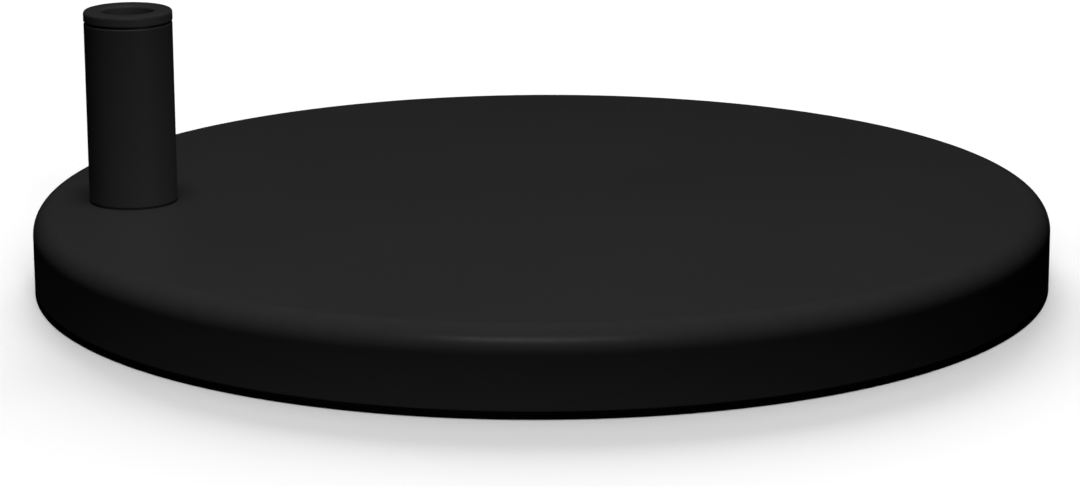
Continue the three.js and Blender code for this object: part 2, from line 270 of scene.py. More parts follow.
def drilled(name, corners, holes, axis=DISC_AXIS, segments=DISC_SEGMENTS):
    """A disc with holes through it, from the corners of its edge, which run outwards from its lower face.

    Each hole is an axis and its wall's points, lowest first.
    """
    solid = Solid(axis, segments)
    edge = solid.wall(supported(rounded(corners), closed=False))
    walls = [edge] + [solid.hole(place, points) for place, points in holes]
    solid.flat(*(rings[0] for rings in walls))
    solid.flat(*(rings[-1] for rings in walls))
    return solid.finished(name)


def through(radius, low, high):
    """Points of a plain hole."""
    return [(radius, low), (radius, high)]


def post_holes(low, high):
    """Holes for the post's bolt and for its pin, as drilled takes them."""
    return [
        (POST_AXIS, through(BOLT_HOLE, low, high)),
        (PIN_AXIS, through(PIN_HOLE, low, high)),
    ]


def open_ring(name, section, gap):
    """Ring with a gap on its +X side, from a closed section of (radius, height) points."""
    solid = Solid()
    columns = []
    for k in range(POST_SEGMENTS + 1):
        column = []
        for r, z in section:
            half = gap / 2 / r
            angle = half + (2 * math.pi - 2 * half) * k / POST_SEGMENTS
            column.append(solid.bm.verts.new((
                POST_X + r * math.cos(angle),
                r * math.sin(angle),
                z,
            )))
        columns.append(column)
    for first, second in zip(columns, columns[1:]):
        solid.strip(first, second)
    for column in (columns[0], columns[-1]):
        solid.bm.faces.new(column)
    return solid.finished(name)


# Half of the angle that a hexagon's side takes up
HALF_SIDE = math.pi / 6

# Shares of half a thread's pitch that its crest and its flank take up
THREAD_CREST = 0.12
THREAD_FLANK = 0.66


def hexagon(corner_radius, share=1.0):
    """Radius of a hexagon by angle; a smaller share rounds it towards the circle inside it."""
    flat = corner_radius * math.cos(HALF_SIDE)
    widest = flat + (corner_radius - flat) * share

    def radius(angle):
        from_flat = HALF_SIDE - abs(angle % (2 * HALF_SIDE) - HALF_SIDE)
        return min(flat / math.cos(from_flat), widest)

    return radius


def thread(crest, depth, pitch, z, strength):
    """Radius of a right-hand thread by angle, at a height."""

    def radius(angle):
        place = (z / pitch - angle / (2 * math.pi)) % 1
        from_crest = abs(place - 0.5) * 2
        sunk = min(max((from_crest - THREAD_CREST) / THREAD_FLANK, 0.0), 1.0)
        return crest - depth * strength * sunk

    return radius


def threaded(crest, depth, pitch, bottom, top):
    """Points for a threaded wall between two heights, which fades to its plain crest at each."""
    count = round((top - bottom) / pitch * THREAD_ROWS)
    points = []
    for i in range(count + 1):
        z = bottom + (top - bottom) * i / count
        from_end = min(z - bottom, top - z) / pitch
        points.append((thread(crest, depth, pitch, z, min(from_end, 1.0)), z))
    return points


# ---------------------------------------------------------------- the disc

COVER_EDGE = 5.4 * MM
COVER_WALL = 2 * MM
COVER_INSET = 1 * MM
COVER_RIM_ROUND = 0.25 * MM

PAD_ROUND = 0.15 * MM
RIB_INNER, RIB_OUTER, RIB_STEP = 40 * MM, 108 * MM, 4 * MM
RIB_GROOVE, RIB_DEPTH = 1.6 * MM, 0.4 * MM

WEIGHT_CHAMFER = 4 * MM
WEIGHT_ROUND = 2 * MM
WEIGHT_FOOT_ROUND, WEIGHT_FOOT_INSET = 0.8 * MM, 2 * MM
WEIGHT_TOP_INSET = 3 * MM
POCKET_RADIUS = 12 * MM
POCKET_CHAMFER = 0.6 * MM
POCKET_TOP = FLAT_HIGH.z
TAPPED_CHAMFER = 0.3 * MM
TAPPED_SPARE = 1.5 * MM
DRILL_POINT = 1.2 * MM

SHEET_HOLE_RADIUS = 10 * MM
SHEET_ROUND, SHEET_INSET = 0.2 * MM, 1 * MM

PLATE_LOW_ROUND, PLATE_HIGH_ROUND, PLATE_INSET = 0.4 * MM, 0.15 * MM, 1.5 * MM

SCREW_RADIUS = 2 * MM
SCREW_PITCH = 0.7 * MM
SCREW_THREAD_DEPTH = 0.4 * MM
SCREW_HOLE = 2.15 * MM
SCREW_CLEARANCE = 0.15 * MM
SCREW_HEAD_RADIUS = 3.9 * MM
SCREW_HEAD_CHAMFER = 0.12 * MM
SCREW_SOCKET_CORNER = 1.4 * MM
SCREW_SOCKET_CHAMFER = 0.1 * MM
SCREW_SOCKET_DEPTH = 1.2 * MM
SCREW_SOCKET_POINT = 0.3 * MM
SCREW_NECK = 0.5 * MM
SCREW_TIP = 0.5 * MM


def cover():
    """Pressed shell with holes for the post's bolt and pin."""
    top, ceiling = COVER_HIGH.z, COVER_HIGH.z - COVER_WALL
    inner = BASE_RADIUS - COVER_WALL
    flat_edge = BASE_RADIUS - COVER_EDGE - COVER_INSET
    return drilled("cover_shell", [
        (flat_edge, ceiling, 0),
        (inner, ceiling, COVER_EDGE - COVER_WALL),
        (inner, COVER_LOW.z, COVER_RIM_ROUND),
        (BASE_RADIUS, COVER_LOW.z, COVER_RIM_ROUND),
        (BASE_RADIUS, top, COVER_EDGE),
        (flat_edge, top, 0),
    ], post_holes(ceiling, top))


def pad():
    """Rubber pad with shallow concentric grooves in its underside."""
    corners = [(0, PAD_LOW.z, 0)]
    r = RIB_INNER
    while r <= RIB_OUTER:
        corners += [
            (r, PAD_LOW.z, PAD_ROUND),
            (r, PAD_LOW.z + RIB_DEPTH, 0),
            (r + RIB_GROOVE, PAD_LOW.z + RIB_DEPTH, 0),
            (r + RIB_GROOVE, PAD_LOW.z, PAD_ROUND),
        ]
        r += RIB_STEP
    corners += [
        (BASE_RADIUS, PAD_LOW.z, PAD_ROUND),
        (BASE_RADIUS, PAD_HIGH.z, PAD_ROUND),
        (0, PAD_HIGH.z, 0),
    ]
    return lathe("rubber_pad", corners, DISC_AXIS, DISC_SEGMENTS)


def weight():
    """Cast disc with a pocket for the bolt's head and blind holes for the plate's screws."""
    low, high = WEIGHT_LOW.z, WEIGHT_HIGH.z
    radius = radius_of(WEIGHT_LOW, WEIGHT_HIGH)
    solid = Solid(DISC_AXIS, DISC_SEGMENTS)
    outer = solid.wall(supported(rounded([
        (radius - WEIGHT_FOOT_INSET, low, 0),
        (radius, low, WEIGHT_FOOT_ROUND),
        (radius, high - WEIGHT_CHAMFER, WEIGHT_ROUND),
        (radius - WEIGHT_CHAMFER, high, WEIGHT_ROUND),
        (radius - WEIGHT_CHAMFER - WEIGHT_TOP_INSET, high, 0),
    ]), closed=False))
    pocket = solid.about(POST_AXIS, POST_SEGMENTS).wall([
        (POCKET_RADIUS + POCKET_CHAMFER, low),
        (POCKET_RADIUS, low + POCKET_CHAMFER, 1.0),
        (POCKET_RADIUS, POCKET_TOP),
    ])
    bolt_wall, pin_wall = (solid.hole(*hole) for hole in post_holes(POCKET_TOP, high))
    mouths = [blind_hole(solid, place, low) for place in SCREW_PLACES]
    solid.flat(outer[0], pocket[0], *mouths)
    solid.flat(pocket[-1], bolt_wall[0], pin_wall[0])
    solid.flat(outer[-1], bolt_wall[-1], pin_wall[-1])
    return solid.finished("iron_weight")


def blind_hole(solid, place, low):
    """Ring at the mouth of a hole for a plate screw, which ends in a drill's point."""
    top = SCREW_HIGH.z + TAPPED_SPARE
    return solid.hole(place, [
        (SCREW_HOLE + TAPPED_CHAMFER, low),
        (SCREW_HOLE, low + TAPPED_CHAMFER),
        (SCREW_HOLE, top - DRILL_POINT),
        (0.0, top),
    ])[0]


def sheet():
    """Foam sheet with a hole round the post's bolt and pin."""
    corners = rim(SHEET_LOW, SHEET_HIGH, SHEET_ROUND, SHEET_ROUND, SHEET_INSET)
    hole = through(SHEET_HOLE_RADIUS, SHEET_LOW.z, SHEET_HIGH.z)
    return drilled("foam_sheet", corners, [(POST_AXIS, hole)])


def plate():
    """Steel plate with countersunk holes."""
    corners = rim(PLATE_LOW, PLATE_HIGH, PLATE_LOW_ROUND, PLATE_HIGH_ROUND, PLATE_INSET)
    mouth = SCREW_HEAD_RADIUS + SCREW_CLEARANCE
    sink = [
        (mouth, PLATE_LOW.z),
        (mouth, PLATE_LOW.z + SCREW_CLEARANCE),
        (SCREW_HOLE, PLATE_LOW.z + SCREW_CLEARANCE + mouth - SCREW_HOLE),
        (SCREW_HOLE, PLATE_HIGH.z),
    ]
    return drilled("closing_plate", corners, [(place, sink) for place in SCREW_PLACES])


def plate_screw(number):
    """Countersunk screw, head down, with a hexagon socket and a cut thread."""
    low, tip = SCREW_LOW.z, SCREW_HIGH.z
    neck = low + SCREW_HEAD_RADIUS - SCREW_RADIUS
    socket = hexagon(SCREW_SOCKET_CORNER)
    head = [
        (0.0, low + SCREW_SOCKET_DEPTH + SCREW_SOCKET_POINT),
        (socket, low + SCREW_SOCKET_DEPTH),
        (socket, low + SCREW_SOCKET_CHAMFER),
        (hexagon(SCREW_SOCKET_CORNER + SCREW_SOCKET_CHAMFER), low, 1.0),
        (SCREW_HEAD_RADIUS - SCREW_HEAD_CHAMFER, low, 1.0),
        (SCREW_HEAD_RADIUS, low + SCREW_HEAD_CHAMFER, 1.0),
        (SCREW_RADIUS, neck + SCREW_HEAD_CHAMFER),
    ]
    shank = threaded(SCREW_RADIUS, SCREW_THREAD_DEPTH, SCREW_PITCH, neck + SCREW_NECK, tip - SCREW_TIP)
    end = [(SCREW_RADIUS - SCREW_TIP, tip, 1.0), (0.0, tip)]
    solid = Solid(SCREW_PLACES[number - 1], SCREW_SEGMENTS)
    solid.wall(head + shank + end)
    return solid.finished(f"closing_screw_{number}")


# ---------------------------------------------------------------- the post

TUBE_WALL = 2 * MM
TUBE_INNER_ROUND = 0.1 * MM
TUBE_TOP_ROUND = 0.22 * MM
TUBE_FOOT_ROUND = 0.1 * MM

SEAT_SQUEEZE = 0.2 * MM
SEAT_ROUND, SEAT_INSET = 0.12 * MM, 0.5 * MM

PLUG_ROUND, PLUG_INSET = 0.5 * MM, 0.8 * MM
PLUG_BORE_CHAMFER = 0.4 * MM
PLUG_PIN_SPARE = 0.1 * MM

BOLT_RADIUS = 4 * MM
BOLT_PITCH = 1.25 * MM
BOLT_THREAD_DEPTH = 0.6 * MM
BOLT_HEAD_TOP = SPLIT_LOW.z
BOLT_HEAD_CORNER = 7.5 * MM
BOLT_CROWN_INSET, BOLT_CROWN_HEIGHT, BOLT_CROWN_SHARE = 0.2 * MM, 0.9 * MM, 0.35
BOLT_FACE_INSET, BOLT_FACE_HEIGHT, BOLT_FACE_STEP = 0.1 * MM, 0.2 * MM, 0.05 * MM
BOLT_FILLET = 0.15 * MM
BOLT_NECK = 1 * MM
BOLT_TIP_LENGTH, BOLT_TIP_INSET = 0.8 * MM, 0.7 * MM

FLAT_INNER_ROUND, FLAT_OUTER_ROUND = 0.1 * MM, 0.25 * MM
SPLIT_ROUND, SPLIT_OPENING = 0.15 * MM, 0.8 * MM
PIN_ROUND = 0.35 * MM


def tube():
    """Plain tube, sharper at its foot than at its top."""
    outer = radius_of(TUBE_LOW, TUBE_HIGH)
    inner = outer - TUBE_WALL
    return lathe("post_shell", [
        (inner, TUBE_LOW.z, TUBE_INNER_ROUND),
        (outer, TUBE_LOW.z, TUBE_FOOT_ROUND),
        (outer, TUBE_HIGH.z, TUBE_TOP_ROUND),
        (inner, TUBE_HIGH.z, TUBE_INNER_ROUND),
    ])


def seat_ring():
    """Thin washer under the post, squeezed out a little by its load, with the bolt's hole and the pin's."""
    corners = rim(SEAT_LOW, SEAT_HIGH, SEAT_ROUND, SEAT_ROUND, SEAT_INSET, SEAT_SQUEEZE)
    return drilled("seat_ring", corners, post_holes(SEAT_LOW.z, SEAT_HIGH.z), POST_AXIS, POST_SEGMENTS)


def foot_plug():
    """Plug with a tapped bore, whose thread clears the bolt's, and a blind hole for the pin."""
    low, high = PLUG_LOW.z, PLUG_HIGH.z
    solid = Solid()
    corners = rim(PLUG_LOW, PLUG_HIGH, PLUG_ROUND, PLUG_ROUND, PLUG_INSET)
    outside = solid.wall(supported(rounded(corners), closed=False))
    mouth = BOLT_HOLE + PLUG_BORE_CHAMFER
    thread_low, thread_high = low + PLUG_BORE_CHAMFER, high - PLUG_BORE_CHAMFER
    tapped = threaded(BOLT_HOLE, BOLT_THREAD_DEPTH, BOLT_PITCH, thread_low, thread_high)
    bore = solid.hole(POST_AXIS, [(mouth, low)] + tapped + [(mouth, high)])
    pin_wall = solid.hole(PIN_AXIS, through(PIN_HOLE, low, PIN_HIGH.z + PLUG_PIN_SPARE))
    solid.flat(pin_wall[-1])
    solid.flat(outside[0], bore[0], pin_wall[0])
    solid.flat(outside[-1], bore[-1])
    return solid.finished("foot_plug")


def bolt():
    """Hexagon bolt, head down, with a chamfered head and a cut thread."""
    low, tip = BOLT_LOW.z, BOLT_HIGH.z
    flat = BOLT_HEAD_CORNER * math.cos(HALF_SIDE)
    face_edge = flat - BOLT_FACE_INSET
    face_low = BOLT_HEAD_TOP - BOLT_FACE_HEIGHT
    head = [
        (0.0, low),
        (flat - BOLT_CROWN_INSET, low, 1.0),
        (hexagon(BOLT_HEAD_CORNER, BOLT_CROWN_SHARE), low + BOLT_CROWN_HEIGHT / 2, 1.0),
        (hexagon(BOLT_HEAD_CORNER), low + BOLT_CROWN_HEIGHT, 1.0),
        (hexagon(BOLT_HEAD_CORNER), face_low - BOLT_FACE_STEP),
        (face_edge, face_low),
        (face_edge - BOLT_FACE_HEIGHT, BOLT_HEAD_TOP, 1.0),
        (BOLT_RADIUS + BOLT_FILLET, BOLT_HEAD_TOP),
        (BOLT_RADIUS, BOLT_HEAD_TOP + BOLT_FILLET),
    ]
    thread_low, thread_high = BOLT_HEAD_TOP + BOLT_NECK, tip - BOLT_TIP_LENGTH
    shank = threaded(BOLT_RADIUS, BOLT_THREAD_DEPTH, BOLT_PITCH, thread_low, thread_high)
    end = [(BOLT_RADIUS - BOLT_TIP_INSET, tip, 1.0), (0.0, tip)]
    solid = Solid(POST_AXIS, SCREW_SEGMENTS)
    solid.wall(head + shank + end)
    return solid.finished("hold_down_bolt")


def flat_washer():
    """Washer between the split one and the ballast."""
    corners = ring_section(BOLT_HOLE, FLAT_LOW, FLAT_HIGH, FLAT_INNER_ROUND, FLAT_OUTER_ROUND)
    return lathe("flat_washer", corners)


def split_washer():
    """Spring washer, cut through at one side and drawn flat by the bolt."""
    corners = ring_section(BOLT_HOLE, SPLIT_LOW, SPLIT_HIGH, SPLIT_ROUND, SPLIT_ROUND)
    return open_ring("split_washer", [(r, z) for r, z, _ in rounded(corners)], SPLIT_OPENING)


def pin():
    """Plain pin with rounded ends."""
    radius = radius_of(PIN_LOW, PIN_HIGH)
    return lathe("dowel_pin", [
        (0, PIN_LOW.z, 0),
        (radius, PIN_LOW.z, PIN_ROUND),
        (radius, PIN_HIGH.z, PIN_ROUND),
        (0, PIN_HIGH.z, 0),
    ], PIN_AXIS, SCREW_SEGMENTS)


# ---------------------------------------------------------------- the collar and what holds it

BUSH_BORE = 7.08 * MM
BUSH_RADIUS = 7.95 * MM
BUSH_BORE_ROUND, BUSH_OUTER_ROUND = 0.2 * MM, 0.3 * MM
FLANGE_LOW_ROUND, FLANGE_HIGH_ROUND = 0.1 * MM, 0.15 * MM

COLLAR_HEIGHT = 2.35 * MM
COLLAR_FOOT = COLLAR_HIGH.z - COLLAR_HEIGHT
COLLAR_ROUND = 0.7 * MM
COLLAR_FOOT_ROUND = 0.12 * MM
COLLAR_NECK_ROUND = 0.1 * MM
SOCKET_RADIUS = 6.05 * MM
SOCKET_MOUTH_ROUND, SOCKET_FOOT_ROUND = 0.8 * MM, 0.15 * MM
SLEEVE_RADIUS = 7 * MM
SLEEVE_FOOT_ROUND = 0.3 * MM
GROOVE_RADIUS = 6.5 * MM
GROOVE_HEIGHT = 1.1 * MM
GROOVE_LIP_ROUND, GROOVE_ROUND = 0.05 * MM, 0.1 * MM

STOP_ROUND = 0.3 * MM
DISH_DEPTH, DISH_ROUND = 0.8 * MM, 0.25 * MM
DISH_RIM_SHARE, DISH_FLOOR_SHARE = 0.6, 0.45

WIRE_RADIUS = 0.5 * MM
WIRE_CENTRE_RADIUS = 7.1 * MM
WIRE_OPENING = 4 * MM
WIRE_Z = (WIRE_LOW.z + WIRE_HIGH.z) / 2

WAVE_INNER = 7.15 * MM
WAVE_THICKNESS = 0.25 * MM
WAVE_ROUND = 0.05 * MM
WAVES = 3


def upper_bush():
    """Bush with a flange that rests on the tube's top."""
    outer = radius_of(UPPER_LOW, UPPER_HIGH)
    return lathe("mouth_bush", [
        (BUSH_BORE, UPPER_LOW.z, BUSH_BORE_ROUND),
        (BUSH_RADIUS, UPPER_LOW.z, BUSH_OUTER_ROUND),
        (BUSH_RADIUS, TUBE_HIGH.z, 0),
        (outer, TUBE_HIGH.z, FLANGE_LOW_ROUND),
        (outer, UPPER_HIGH.z, FLANGE_HIGH_ROUND),
        (BUSH_BORE, UPPER_HIGH.z, BUSH_BORE_ROUND),
    ])


def lower_bush():
    """Plain bush for the lower end of the collar's sleeve."""
    corners = ring_section(BUSH_BORE, LOWER_LOW, LOWER_HIGH, BUSH_BORE_ROUND, BUSH_OUTER_ROUND)
    return lathe("sleeve_bush", corners)


def collar():
    """Collar and sleeve, with the socket for the arm's pin and the wire ring's groove."""
    outer = radius_of(COLLAR_LOW, COLLAR_HIGH)
    groove_low, groove_high = WIRE_Z - GROOVE_HEIGHT / 2, WIRE_Z + GROOVE_HEIGHT / 2
    return lathe("collar_head", [
        (SOCKET_RADIUS, COLLAR_LOW.z, SOCKET_FOOT_ROUND),
        (SLEEVE_RADIUS, COLLAR_LOW.z, SLEEVE_FOOT_ROUND),
        (SLEEVE_RADIUS, groove_low, GROOVE_LIP_ROUND),
        (GROOVE_RADIUS, groove_low, GROOVE_ROUND),
        (GROOVE_RADIUS, groove_high, GROOVE_ROUND),
        (SLEEVE_RADIUS, groove_high, GROOVE_LIP_ROUND),
        (SLEEVE_RADIUS, COLLAR_FOOT, COLLAR_NECK_ROUND),
        (outer, COLLAR_FOOT, COLLAR_FOOT_ROUND),
        (outer, COLLAR_HIGH.z, COLLAR_ROUND),
        (SOCKET_RADIUS, COLLAR_HIGH.z, SOCKET_MOUTH_ROUND),
    ])


def socket_floor():
    """Moulded stop with a dished middle."""
    outer = radius_of(STOP_LOW, STOP_HIGH)
    dish = STOP_HIGH.z - DISH_DEPTH
    return lathe("socket_floor", [
        (0, STOP_LOW.z, 0),
        (outer, STOP_LOW.z, STOP_ROUND),
        (outer, STOP_HIGH.z, STOP_ROUND),
        (outer * DISH_RIM_SHARE, STOP_HIGH.z, DISH_ROUND),
        (outer * DISH_FLOOR_SHARE, dish, DISH_ROUND),
        (0, dish, 0),
    ])


def wire_ring():
    """Round wire bent into an open ring."""
    section = []
    for k in range(WIRE_SEGMENTS):
        angle = 2 * math.pi * k / WIRE_SEGMENTS
        section.append((
            WIRE_CENTRE_RADIUS + WIRE_RADIUS * math.cos(angle),
            WIRE_Z + WIRE_RADIUS * math.sin(angle),
        ))
    return open_ring("wire_ring", section, WIRE_OPENING)


def wavy_washer():
    """Flat spring steel ring with waves round it."""
    outer = radius_of(WAVE_LOW, WAVE_HIGH)
    middle = (WAVE_LOW.z + WAVE_HIGH.z) / 2
    lift = (WAVE_HIGH.z - WAVE_LOW.z - WAVE_THICKNESS) / 2
    half = WAVE_THICKNESS / 2

    def wave(offset):
        return lambda angle: middle + offset + lift * math.cos(WAVES * angle)

    solid = Solid()
    solid.wall([
        (WAVE_INNER, wave(-half + WAVE_ROUND), 1.0),
        (WAVE_INNER + WAVE_ROUND, wave(-half)),
        (outer - WAVE_ROUND, wave(-half)),
        (outer, wave(-half + WAVE_ROUND), 1.0),
        (outer, wave(half - WAVE_ROUND), 1.0),
        (outer - WAVE_ROUND, wave(half)),
        (WAVE_INNER + WAVE_ROUND, wave(half)),
        (WAVE_INNER, wave(half - WAVE_ROUND), 1.0),
    ], closed=True)
    return solid.finished("wavy_washer")


# ---------------------------------------------------------------- materials

# Most of a noise's values lie between these
NOISE_LOW, NOISE_HIGH = 0.3, 0.7

# Sockets of a Mix node that mixes colours, which has others of the same names
MIX_SHARE, MIX_FIRST, MIX_SECOND, MIX_RESULT = 0, 6, 7, 2


class Shader:
    """A Principled material, and the few kinds of nodes that the finishes here are made from."""

    def __init__(self, name, colour, roughness, metallic=0.0, specular=0.5):
        self.material = bpy.data.materials.new(name)
        self.material.use_nodes = True
        self.tree = self.material.node_tree
        self.surface = self.tree.nodes["Principled BSDF"]
        self.feed(colour, self.surface, "Base Color")
        self.feed(roughness, self.surface, "Roughness")
        self.feed(metallic, self.surface, "Metallic")
        self.feed(specular, self.surface, "Specular IOR Level")
        self.place = self.node("ShaderNodeTexCoord").outputs["Object"]
        self.relief = None

    def node(self, kind, **settings):
        made = self.tree.nodes.new(kind)
        for key, value in settings.items():
            setattr(made, key, value)
        return made

    def feed(self, value, node, socket):
        """Number, colour or node output into a socket."""
        if isinstance(value, (int, float)):
            node.inputs[socket].default_value = value
        elif isinstance(value, tuple):
            node.inputs[socket].default_value = (*value, 1.0)
        else:
            self.tree.links.new(value, node.inputs[socket])

    def math(self, operation, first, second=0.0):
        made = self.node("ShaderNodeMath", operation=operation)
        self.feed(first, made, 0)
        self.feed(second, made, 1)
        return made.outputs["Value"]

    def times(self, first, second):
        return self.math("MULTIPLY", first, second)

    def noise(self, size, detail=2.0, roughness=0.5, place=None):
        """Noise whose features are about that many metres across."""
        made = self.node("ShaderNodeTexNoise")
        self.feed(place or self.place, made, "Vector")
        self.feed(1 / size, made, "Scale")
        self.feed(detail, made, "Detail")
        self.feed(roughness, made, "Roughness")
        return made.outputs["Fac"]

    def cells(self, size):
        """Distance to the nearest of scattered points about that many metres apart."""
        made = self.node("ShaderNodeTexVoronoi")
        self.feed(self.place, made, "Vector")
        self.feed(1 / size, made, "Scale")
        return made.outputs["Distance"]

    def streaks(self, size, detail, stretch):
        """Noise drawn out along Z, or squeezed along it where stretch is under 1."""
        mapping = self.node("ShaderNodeMapping")
        self.feed(self.place, mapping, "Vector")
        mapping.inputs["Scale"].default_value = (1.0, 1.0, 1 / stretch)
        return self.noise(size, detail, place=mapping.outputs["Vector"])

    def spread(self, value, low, high, to_low=0.0, to_high=1.0):
        """Value, from low to high, stretched to another range and held within it."""
        made = self.node("ShaderNodeMapRange")
        numbers = (value, low, high, to_low, to_high)
        for socket, number in zip(("Value", "From Min", "From Max", "To Min", "To Max"), numbers):
            self.feed(number, made, socket)
        return made.outputs["Result"]

    def varied(self, noise, to_low=0.0, to_high=1.0):
        """A noise's usual range stretched to another range."""
        return self.spread(noise, NOISE_LOW, NOISE_HIGH, to_low, to_high)

    def axes(self, vector):
        made = self.node("ShaderNodeSeparateXYZ")
        self.feed(vector, made, "Vector")
        return made.outputs

    def away_from(self, axis):
        """Distance from an upright axis."""
        place = self.axes(self.place)
        x = self.math("SUBTRACT", place["X"], axis[0])
        y = self.math("SUBTRACT", place["Y"], axis[1])
        return self.math("SQRT", self.math("ADD", self.times(x, x), self.times(y, y)))

    def turning(self, axis, pitch):
        """Fine rings about an upright axis, as a lathe tool leaves them."""
        along = self.math("ADD", self.away_from(axis), self.axes(self.place)["Z"])
        return self.spread(self.math("SINE", self.times(along, 2 * math.pi / pitch)), -1.0, 1.0)

    def facing(self, axis):
        """How far the surface faces along +X, +Y or +Z, from -1 to 1."""
        return self.axes(self.node("ShaderNodeNewGeometry").outputs["Normal"])[axis]

    def worn(self):
        """Share along rounded edges, broken up by noise: wear, and in the post's coat a painted highlight."""
        edge = self.node("ShaderNodeAttribute", attribute_name="worn").outputs["Fac"]
        return self.times(edge, self.varied(self.noise(size=4 * MM, detail=4)))

    def blend(self, share, first, second, beyond=False):
        """Colour between two colours by share, and on past the second one if beyond is set."""
        made = self.node("ShaderNodeMix", data_type="RGBA", clamp_factor=not beyond)
        self.feed(share, made, MIX_SHARE)
        self.feed(first, made, MIX_FIRST)
        self.feed(second, made, MIX_SECOND)
        return made.outputs[MIX_RESULT]

    def tint(self, share, first, second, beyond=False):
        """A blend as the base colour."""
        self.feed(self.blend(share, first, second, beyond), self.surface, "Base Color")

    def gloss(self, roughness):
        self.feed(roughness, self.surface, "Roughness")

    def bump(self, height, depth):
        """Relief of that depth in metres, on top of any before it."""
        made = self.node("ShaderNodeBump")
        self.feed(depth, made, "Distance")
        self.feed(height, made, "Height")
        if self.relief:
            self.feed(self.relief, made, "Normal")
        self.relief = made.outputs["Normal"]
        self.feed(self.relief, self.surface, "Normal")

    def grain(self, size, depth, detail=2.0, roughness=0.5):
        """Relief from noise."""
        self.bump(self.noise(size, detail, roughness), depth)


def grey(value):
    return (value, value, value)


COAT_TONE = 0.029
COAT_SPECULAR = 0.095
COAT_ROUGHNESS = 0.34
COAT_SMOOTHEST, COAT_ROUGHEST = COAT_ROUGHNESS - 0.03, COAT_ROUGHNESS + 0.05
COAT_CLOUDINESS = 0.05
# Tones of the clean coat and of its lighter colour, which is for wear and for painted light and highlights
CLEAN_TONE, WORN_AND_LIT_TONE = 0.98, 1.6
DUST_MATTS = 0.15
RUBBING_POLISHES = 0.08

# How far outside the socket's radius the painted light inside it starts to fade, and ends
SOCKET_LIGHT_FADES = (0.1 * MM, 0.35 * MM)


def dust_and_light_on_sides(shader, dust):
    """Share of dust and of painted light on what stands upright, from (height, share, height, share) and
    broken up by noise: painted light, lighter where the share is higher, and dust that matts.
    """
    low, share_low, high, share_high = dust
    upright = shader.math("SUBTRACT", 1.0, shader.math("ABSOLUTE", shader.facing("Z")))
    by_height = shader.spread(shader.axes(shader.place)["Z"], low, high, share_low, share_high)
    patches = shader.spread(shader.noise(size=12 * MM, detail=4), 0.2, 0.8, 0.85, 1.0)
    return shader.times(shader.times(by_height, patches), shader.spread(upright, 0.5, 0.9))


def powder_coat(name, dust, edge_wear_and_highlight, socket_painted_light=0.0):
    """Satin black powder coat with fine orange peel, faint cloudiness, dust that matts it, rubbed edges, and
    painted light.

    Its upright sides are painted lighter towards their feet, and the arm's socket is painted lighter inside:
    painted light. Its rounded edges are painted lighter: a little wear, and on the post a painted highlight.
    """
    shader = Shader(name, grey(COAT_TONE), COAT_ROUGHNESS, specular=COAT_SPECULAR)
    cloud = shader.noise(size=50 * MM, detail=3)
    # Rounded edges: wear, and where this is weighted heavily, as on the post, a painted highlight
    rubbed = shader.worn()
    # Painted light that makes upright sides lighter towards their feet, with dust that matts them
    dust_and_light_share = dust_and_light_on_sides(shader, dust)
    clean = shader.varied(cloud, 0.0, COAT_CLOUDINESS)
    lighter = shader.math("ADD", clean, shader.times(rubbed, edge_wear_and_highlight))
    share = shader.math("MAXIMUM", lighter, dust_and_light_share)
    # Painted light inside the arm's socket
    if socket_painted_light:
        start, end = (SOCKET_RADIUS + beyond for beyond in SOCKET_LIGHT_FADES)
        inside = shader.spread(shader.away_from(POST_AXIS), start, end, socket_painted_light, 0.0)
        share = shader.math("MAXIMUM", share, inside)
    shader.tint(share, grey(COAT_TONE * CLEAN_TONE), grey(COAT_TONE * WORN_AND_LIT_TONE), beyond=True)
    matt = shader.varied(cloud, COAT_SMOOTHEST, COAT_ROUGHEST)
    matt = shader.math("ADD", matt, shader.times(dust_and_light_share, DUST_MATTS))
    shader.gloss(shader.math("SUBTRACT", matt, shader.times(rubbed, RUBBING_POLISHES)))
    shader.grain(size=0.9 * MM, depth=0.014 * MM, detail=1)
    shader.grain(size=0.2 * MM, depth=0.004 * MM, detail=1)
    return shader.material


def acetal(name, tone):
    """Turned plastic with faint lathe rings, lighter where its edges are rubbed."""
    shader = Shader(name, grey(tone), 0.5, specular=0.3)
    shader.tint(shader.worn(), grey(tone * 0.9), grey(tone * 1.6))
    shader.gloss(shader.varied(shader.noise(size=3 * MM, detail=3), 0.42, 0.58))
    shader.bump(shader.turning(POST_AXIS, pitch=0.18 * MM), depth=0.002 * MM)
    shader.grain(size=0.3 * MM, depth=0.005 * MM)
    return shader.material


# The pad's near-black tone is partly painted shade: its thin edge at the floor stands in for the contact
# shadow along the foot
RUBBER_AND_FOOT_SHADE_TONE, RUBBER_DUSTY_TONE = 0.002, 0.006
DUST_ON_PAD_SIDE = 0.2


def rubber(name):
    """Matt moulded rubber with a fine grain and traces of dust, most of them underneath."""
    shader = Shader(name, grey(RUBBER_AND_FOOT_SHADE_TONE), 0.85, specular=0.05)
    dust = shader.spread(shader.noise(size=20 * MM, detail=6, roughness=0.6), 0.35, 0.85)
    place = shader.spread(shader.facing("Z"), -0.9, -0.6, 1.0, DUST_ON_PAD_SIDE)
    shader.tint(shader.times(dust, place), grey(RUBBER_AND_FOOT_SHADE_TONE), grey(RUBBER_DUSTY_TONE))
    shader.gloss(shader.varied(shader.noise(size=10 * MM, detail=3), 0.78, 0.92))
    shader.grain(size=0.4 * MM, depth=0.03 * MM, detail=3, roughness=0.6)
    return shader.material


IRON_SKIN = (0.055, 0.055, 0.058)
IRON_RUST = (0.075, 0.045, 0.03)
IRON_BRIGHT = (0.22, 0.22, 0.225)
IRON_TURNED_SHINE = 0.25
IRON_TURNED_BRIGHTNESS = 0.8


